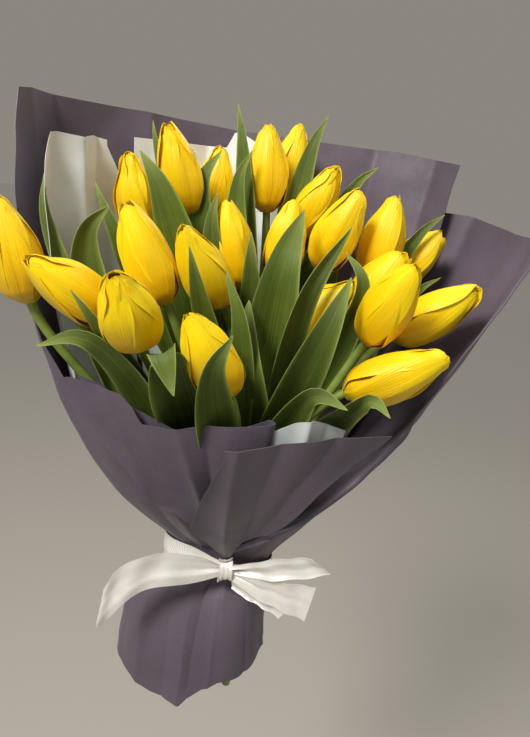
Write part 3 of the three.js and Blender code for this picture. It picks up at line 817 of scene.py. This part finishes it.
def makeLeaves():
    counts = {}
    for place, leaf in enumerate(leaves):
        dice = random.Random(300 + place)
        number = leaf[0]
        counts[number] = counts.get(number, 0) + 1
        name = "stem_%02d_leaf_%s" % (number, "abcdef"[counts[number] - 1])
        grid, thickness = leafGrid(leaf, dice)
        piece = shellMesh(name, [(grid, thickness, dice.uniform(0.1, 0.9))], leafMaterial)
        settle(piece, "stem_%02d" % number)


makeLeaves()
print("leaves made:", len(leaves))


# Paper and liner. Angles go round the neck from +X towards +Y, as in the design.

neckLook = {
    "radius": 27.6,
    "left": 47.6,  # the neck bulges to the left
    "waist": 12,
    "tilt": 6,  # and sits this much higher there
    "front": 10,  # and this much higher in front
    "pleats": 12,
    "pleatDepth": 1.6,
    "pleatReach": 26,
    "layerSpacing": 1.6,
    "layerGrowth": 0.03,
}
flare = {  # how far the paper opens above the neck, over what height, and how it sets off
    "right": (190, 225, 1.2),
    "back": (100, 140, 1),
    "left": (112, 88, 1),
    "front": (62, 72, 1),
}
skirt = {"right": (1, 18), "back": (14, 24), "left": (37, 25), "front": (14, 20)}  # and below it
rollLook = {
    "turns": (1.45 * math.pi, 0.12, 16),  # the roll's turn at its edge and where it joins, and its steps
    "tighter": 0.18,
    "heights": (14, 60, 128, 150),  # where it begins, is full, begins to open and is nearly open
    "opened": 0.82,
}
paperThickness = 0.45

# Edges of each sheet: side edges as (height, angle) and lower and upper edges as (angle, height). A fold is
# (angle low down, angle high up, depth, width); "lift" raises a side edge off the sheet behind it.
sheets = {
    "wrap_back_left": {
        "layer": 0, "size": (250, 120),
        "start": [(-70, 14), (170, 20), (205, 25), (300, 28)],
        "end": [(-70, 266), (5, 266), (25, 262), (40, 256), (53, 250), (69, 240), (77, 232),
                (90, 226), (119, 214), (134, 207), (148, 201), (168, 196), (212, 192), (255, 188),
                (296, 184), (317, 181.5)],
        "lower": [(14, -70), (46, -78), (106, -82), (140, -88), (176, -94), (196, -101),
                  (214, -106), (240, -107), (250, -93), (266, -81)],
        "upper": [(28, 305), (46, 311), (106, 315), (140, 318), (176, 317), (181.5, 315)],
        "folds": [(150, 166, 5, 5), (126, 138, -4, 4), (110, 106, 4, 4), (88, 82, -4, 5),
                  (62, 54, 5, 5), (42, 36, 6, 4), (205, 190, 6, 5), (222, 202, -4, 4),
                  (238, 216, 4, 3), (190, 176, -4, 5)],
        "flat": (0.47, 0.43), "area": 0.133,
    },
    "wrap_back_right": {
        "layer": 1.75, "size": (150, 110), "roll": 4.2,
        "start": [(-84, -112), (-8, -111), (6, -104), (16, -96), (34, -80), (48, -62), (60, -46),
                  (76, -33), (96, -25), (120, -21), (140, -19), (185, -17), (215, -15), (245, -11),
                  (262, -7)],
        "end": [(-84, 62), (270, 62)],
        "lower": [(-112, -93), (-100, -83), (-86, -76), (-60, -74), (-38, -71), (-12, -67), (62, -76)],
        "upper": [(-7, 260), (8, 262), (26, 270), (62, 272)],
        "folds": [(34, 24, 5, 4), (12, 4, -5, 4), (-20, 0, 5, 4), (-95, -60, 4, 3),
                  (-60, -35, -4, 4), (48, 42, 4, 4)],
        "flat": (0.36, 0.36), "area": 0.06,
    },
    "wrap_front_left": {
        "layer": 1, "size": (84, 60), "foldBack": (281, 8.5), "lift": 5,
        "start": [(30, 265), (34, 262), (45, 256), (57, 250), (68, 244), (76, 238), (82, 232),
                  (95, 226), (110, 220), (125, 214), (139, 208), (150, 206)],
        "end": [(30, 281), (150, 281)],
        "lower": [(206, 30), (281, 30)],
        "upper": [(206, 150), (209, 153), (220, 154), (226, 151), (229.5, 144), (232, 134),
                  (244, 135), (256, 140), (268, 144), (281, 148)],
        "inner": [(206, 152), (214, 151), (228, 139), (240, 131), (262, 134), (281, 147)],
        "folds": [(258, 232, 4, 3), (262, 250, -5, 5), (232, 214, 3, 3)],
        "flat": (0.22, 0.19), "area": 0.0185,
    },
    "wrap_front_right": {
        "layer": 4, "size": (84, 80), "lift": 4,
        "start": [(8, 267), (30, 262), (46, 256), (60, 250), (66, 250), (90, 256), (114, 262),
                  (138, 267)],
        "end": [(8, 268), (22, 272), (42, 276), (54, 281), (62, 292), (74, 298), (102, 304),
                (116, 310), (127, 314), (140, 319), (146, 320)],
        "lower": [(250, 8), (320, 8)],
        "upper": [(267, 138), (276, 139), (284, 141), (292, 144), (300, 145), (320, 145.5)],
        "folds": [(268, 274, 5, 4), (278, 292, -5, 8), (284, 318, -4, 5)],
        "flat": (0.14, 0.14), "area": 0.0078,
    },
    "liner_left": {
        "layer": -1.8, "size": (60, 70),
        "start": [(20, 150), (262, 150), (290, 158)],
        "end": [(20, 196), (170, 196), (226, 190), (280, 184), (294, 178)],
        "lower": [(150, 20), (196, 20)],
        "upper": [(150, 288), (158, 293), (163, 294.5), (170, 292), (176, 293), (184, 289)],
        "folds": [(166, 170, -13, 5), (176, 178, 6, 6), (158, 161, 4, 2)],
        "flat": (0.14, 0.29), "area": 0.0255,
    },
    "liner_back": {
        "layer": -1.3, "size": (90, 70),
        "start": [(20, 62), (230, 62), (292, 84)],
        "end": [(20, 147), (300, 147)],
        "lower": [(62, 20), (147, 20)],
        "upper": [(62, 240), (84, 292), (103, 310), (108, 312), (111, 300), (136, 299), (147, 298)],
        "folds": [(120, 118, 6, 5), (92, 90, -6, 5), (134, 136, -4, 3)],
        "flat": (0.18, 0.3), "area": 0.0363,
    },
    "liner_front": {
        "layer": 0.4, "size": (40, 40),
        "start": [(20, 283), (150, 283)],
        "end": [(20, 320), (150, 316)],
        "lower": [(283, 20), (320, 20)],
        "upper": [(283, 142), (292, 149), (298, 151), (308, 145), (320, 138)],
        "folds": [(298, 296, 6, 3), (308, 306, -4, 3)],
        "flat": (0.1, 0.14), "area": 0.006,
    },
}


def between(pairs, x):  # straight-line value of listed pairs
    place, value = np.array(pairs, float).T
    return np.interp(x, place, value)


def sheetRadius(angle, z, sheet):
    a = np.radians(angle)
    c, s = np.cos(a), np.sin(a)
    height = z + neckLook["tilt"] * c + neckLook["front"] * s
    far = np.maximum(0, np.abs(height) - neckLook["waist"])

    def opening(side):
        up, down = flare[side], skirt[side]
        upper = up[0] * (1 - np.exp(-((far / up[1]) ** up[2])))
        return np.where(height > 0, upper, down[0] * (1 - np.exp(-(far / down[1]))))

    across = np.where(c > 0, neckLook["radius"] + opening("right"), neckLook["left"] + opening("left"))
    along = neckLook["radius"] + np.where(s > 0, opening("back"), opening("front"))
    radius = across * along / np.hypot(along * c, across * s)
    near = np.exp(-np.abs(height) / neckLook["pleatReach"])
    wave = neckLook["pleats"] * a + 1.1 * np.sin(3 * a + 1) + 0.7 * np.sin(5 * a)
    pleat = 1 - 2 * np.abs(np.sin(wave / 2)) ** 0.8
    radius = radius + neckLook["pleatDepth"] * pleat * near
    radius = radius + 1.6 * smoothStep(20, 120, np.abs(height)) * np.sin(5 * a + 0.012 * height + 0.8)
    for low, high, depth, width in sheet["folds"]:
        line = low + (high - low) * smoothStep(0, 260, height)
        grow = (smoothStep(6, 70, np.abs(height)) * 0.85 + 0.15) * np.where(height < 0, 0.5, 1)
        radius = radius + depth * np.exp(-np.sqrt((angle - line) ** 2 + 0.6) / width) * grow
    return radius + sheet["layer"] * (neckLook["layerSpacing"] + neckLook["layerGrowth"] * far)


def onSheet(sheet, angle, z, offset=0.0):
    radius = sheetRadius(angle, z, sheet) + offset
    a = np.radians(angle)
    outward = np.stack([np.cos(a), np.sin(a), np.zeros_like(a)], -1)
    grid = outward * radius[..., None] + np.array([0, 0, 1.0]) * z[..., None]
    rough = crumple(grid, 36, 1.5, 2) + crumple(grid, 15, 0.5, 5)
    return grid + outward * (rough * smoothStep(12, 60, np.abs(z)))[..., None]


def sheetGrid(sheet):
    columns, rows = sheet["size"]
    bottom = min(z for _, z in sheet["lower"])
    top = max(z for _, z in sheet["upper"])
    v = np.linspace(0, 1, rows)[None]
    u = np.linspace(0, 1, columns)[:, None]
    level = bottom + (top - bottom) * v
    start, end = between(sheet["start"], level), between(sheet["end"], level)
    angle = start + (end - start) * u
    low, high = between(sheet["lower"], angle), between(sheet["upper"], angle)
    z = low + (high - low) * v
    raised = sheet.get("lift", 0) * smoothStep(30, 80, z)
    atStart, atEnd = np.exp(-(angle - start) / 4.0), np.exp(-(end - angle) / 4.0)
    if "foldBack" not in sheet:
        grid = onSheet(sheet, angle, z, raised * (atStart + 0.6 * atEnd))
        return rolledEdge(grid, sheet["roll"]) if "roll" in sheet else grid
    fold, gap = sheet["foldBack"]
    front = onSheet(sheet, angle, z, raised * atStart)
    turn = np.linspace(0, math.pi, 12)[1:-1, None]
    edge = z[-1:] + 0 * turn
    inwards = -gap / 2 * (1 - np.cos(turn)) * smoothStep(20, 60, edge)
    bend = onSheet(sheet, fold + 0 * edge + 3.2 * np.sin(turn), edge, inwards)
    angleBack = fold - (fold - start) * u
    low, high = between(sheet["lower"], angleBack), between(sheet["inner"], angleBack)
    zBack = low + (high - low) * v
    rear = onSheet(sheet, angleBack, zBack, -gap * smoothStep(20, 60, zBack))
    return np.concatenate([front, bend, rear])


def rolledEdge(grid, radius):  # the first edge rolls outwards where the sheet is low, and less above
    edge = grid[0]
    into = unit(grid[6] - edge)
    outward = unit(edge * np.array([1, 1, 0]))
    outward = unit(outward - into * np.sum(outward * into, axis=-1, keepdims=True))
    low, full, opening, opened = rollLook["heights"]
    z = edge[:, 2:]
    weight = smoothStep(low, full, z) * (1 - rollLook["opened"] * smoothStep(opening, opened, z))
    turns = []
    for turn in np.linspace(*rollLook["turns"]):
        size = radius * weight * (1 - rollLook["tighter"] * turn / math.pi)
        turns.append(edge - into * size * np.sin(turn) + outward * size * (1 - np.cos(turn)))
    return np.concatenate([np.array(turns), grid])


def makeSheets():
    for name, sheet in sheets.items():
        liner = name.startswith("liner")
        thickness, material = (0.2, linerMaterial) if liner else (paperThickness, paperMaterial)
        piece = shellMesh(name + "_sheet", [(sheetGrid(sheet), thickness, 0.5)], material)
        settle(piece, name)
        area = sum(p.area for p in piece.data.polygons) / 2
        print(name, "area", round(area, 4), "stated", sheet["area"])


makeSheets()
print("paper and liner made")


# Ribbon.

ribbonLook = {
    "thickness": 0.35,
    "columns": 15,
    "rows": 90,
    "band": [(-97, 37), (-80, 36.6), (-60, 34.4), (-30, 33.2), (0, 33), (60, 33), (110, 32.8),
             (130, 35.5), (150, 41.2), (165, 46.8), (180, 50.4), (195, 47), (210, 41.4), (225, 37),
             (240, 35), (255, 36), (263, 37)],
    "width": 23,
    "knot": [-0.5, -41.5, 18],
    "bandFlat": (0.025, 0.21),
    "knotFlat": (0.014, 0.032),
}
ribbonStrips = {  # the two long edges of each free piece
    "ribbon_tail_left": {
        "upper": [[-3, -44, 23], [-20, -49.5, 31], [-41, -54.5, 34], [-57, -57.5, 31],
                  [-72, -58.5, 20], [-80, -57.5, 4]],
        "lower": [[-3, -43.5, 14], [-22, -49, 9], [-46, -56, 7], [-63, -58, -3], [-77, -56.5, -22],
                  [-85, -55.5, -31]],
        "flat": (0.025, 0.09),
    },
    "ribbon_tail_right": {
        "upper": [[3, -45, 24], [22, -51, 35], [40, -56, 43], [56, -58, 47]],
        "lower": [[3, -44.5, 17], [27, -51, 21], [49, -56.5, 28], [70, -58, 34]],
        "flat": (0.02, 0.055),
    },
    "ribbon_loop_right": {
        "upper": [[3, -43.5, 20], [24, -49, 20], [44, -53, 22], [62, -55, 24]],
        "lower": [[3, -43, 12], [24, -48, 3], [42, -52, -3], [58, -54, -7]],
        "flat": (0.024, 0.054),
    },
    "ribbon_tail_under": {
        "upper": [[5, -40, 8], [24, -45, 5], [46, -50, 0]],
        "lower": [[5, -39.5, 1], [24, -44.5, -6], [41, -49, -10]],
        "flat": (0.012, 0.04),
    },
}


def stripGrid(strip, seed, creases=4):
    s, t = acrossAndAlong(ribbonLook["columns"], np.linspace(0, 1, ribbonLook["rows"]))
    upper, lower = throughPoints(strip["upper"], t), throughPoints(strip["lower"], t)
    grid = lower + (upper - lower) * ((s + 1) / 2)[..., None]
    normal = unit(np.cross(np.gradient(grid, axis=1), upper - lower))
    dice = random.Random(70 + seed)
    fold = np.zeros_like(s)
    for _ in range(creases):
        line, slant = dice.uniform(-0.7, 0.7), dice.uniform(-0.5, 0.5)
        depth = dice.choice([-1, 1]) * dice.uniform(1.1, 2.4)
        fold = fold + depth * np.exp(-np.abs(s - line - slant * t) / 0.3) * np.exp(-t / 0.8)
    fold = fold + 1.6 * np.sin(5 * t + seed + 0.8 * s) * t + 1.0 * s**2 * np.sin(math.pi * t)
    fold = fold + 0.8 * np.sin(18 * t + seed + 0.9 * s) * smoothStep(0.1, 0.45, t)
    return grid + normal * fold[..., None]


def bandGrid():
    s, v = acrossAndAlong(ribbonLook["columns"], np.linspace(0, 1, 240))
    degrees = 263 - 346 * v
    angle = np.radians(degrees)
    near = np.abs(np.sin((angle - math.radians(270)) / 2))
    width = 12 + (ribbonLook["width"] - 12) * smoothStep(0.04, 0.4, near)
    lift = -neckLook["tilt"] * np.cos(angle) - neckLook["front"] * np.sin(angle)
    lift = lift + 5 * (1 - smoothStep(0.0, 0.35, near))
    radius = outlineAt(ribbonLook["band"], degrees) + 0.5 * np.sin(3 * s + 4 * angle) * (1 - s**2)
    for line, slant, wide in ((0.3, 0.5, 0.2), (-0.35, -0.4, 0.16), (0.0, 0.2, 0.12)):
        ridge = np.exp(-np.abs(s - line - slant * np.sin(1.5 * angle)) / wide)
        radius = radius + 0.9 * ridge * (1 - 0.75 * smoothStep(0.2, 0.8, near))
    return np.stack([radius * np.cos(angle), radius * np.sin(angle), lift + s * width / 2], -1)


def knotGrid():
    s, v = acrossAndAlong(17, np.linspace(0, 1, 60))
    turn = 2 * math.pi * v * 0.96 + 0.4
    pinch = 1 + 0.3 * np.abs(s) ** 2
    creases = 0.7 * np.exp(-np.abs(s - 0.3 * np.sin(turn)) / 0.18) + 0.5 * np.exp(-np.abs(s + 0.5) / 0.15)
    deep, tall = 4.0 * pinch + creases, 7.0 * pinch + creases
    x, y, z = ribbonLook["knot"]
    across = x + s * 4.6 + 0.8 * np.sin(turn)
    return np.stack([across, y - deep * np.sin(turn), z + tall * np.cos(turn) + 1.2 * s], -1)


def makeRibbon():
    def add(name, grid, flat, node):
        piece = shellMesh(name, [(grid, ribbonLook["thickness"], 0.5)], satinMaterial)
        settle(piece, node)
        area = sum(p.area for p in piece.data.polygons) / 2
        print(name, "area", round(area, 5), "flat", round(flat[0] * flat[1], 5))

    add("ribbon_band_turn", bandGrid(), ribbonLook["bandFlat"], "ribbon_band")
    add("ribbon_knot_turn", knotGrid(), ribbonLook["knotFlat"], "ribbon_knot")
    for seed, (name, strip) in enumerate(ribbonStrips.items()):
        add(name + "_strip", stripGrid(strip, seed), strip["flat"], name)


makeRibbon()
print("ribbon made")


# Floor, light and camera.

studioLook = {
    "floor": (0.42, 0.39, 0.345),
    "horizon": (0.262, 0.24, 0.212),
    "zenith": (0.72, 0.72, 0.72),
}


def makeStage():
    look = studioLook
    bpy.ops.mesh.primitive_plane_add(size=60, location=(0, 0, -0.9))
    floor = bpy.context.object
    floor.name = "floor"
    constants = {"Roughness": 0.9, "Base Color": (*look["floor"], 1)}
    floor.data.materials.append(newMaterial("pale floor", constants)[0])
    world = bpy.context.scene.world or bpy.data.worlds.new("studio")
    bpy.context.scene.world = world
    world.use_nodes = True
    tree = world.node_tree
    way = addNode(tree, "ShaderNodeTexCoord").outputs["Generated"]
    height = addNode(tree, "ShaderNodeSeparateXYZ", {0: way}).outputs[2]
    colour = ramp(tree, height, [(0.0, look["horizon"]), (0.42, look["horizon"]), (0.85, look["zenith"])])
    tree.links.new(colour, tree.nodes["Background"].inputs["Color"])
    tree.nodes["Background"].inputs["Strength"].default_value = 1.0


def addLight(name, place, aim, size, power, colour):
    light = bpy.data.lights.new(name, "AREA")
    light.shape = "DISK"
    light.size = size
    light.energy = power
    light.color = colour
    lamp = bpy.data.objects.new(name, light)
    bpy.context.collection.objects.link(lamp)
    lamp.location = place
    lamp.rotation_euler = (Vector(aim) - Vector(place)).to_track_quat("-Z", "Y").to_euler()


makeStage()
addLight("key", (-0.75, -1.05, 1.35), (0, 0, 0.12), 0.5, 40, (1.0, 0.97, 0.92))
addLight("fill", (1.2, -1.2, 0.6), (0, 0, 0.1), 1.2, 3, (0.92, 0.95, 1.0))
addLight("rim", (0.4, 1.1, 1.2), (0, 0, 0.15), 0.8, 8, (1.0, 0.98, 0.95))

camera = bpy.data.objects.new("camera", bpy.data.cameras.new("camera"))
bpy.context.collection.objects.link(camera)
camera.location = (0.0111, -0.3803, 0.2724)
camera.rotation_euler = [math.radians(a) for a in (72.62, -6.31, 1.97)]
camera.data.sensor_width = 36
camera.data.lens = 27.99
camera.data.clip_start = 0.01
bpy.context.scene.camera = camera
bpy.context.scene.view_settings.view_transform = "Standard"  # keeps the yellows full
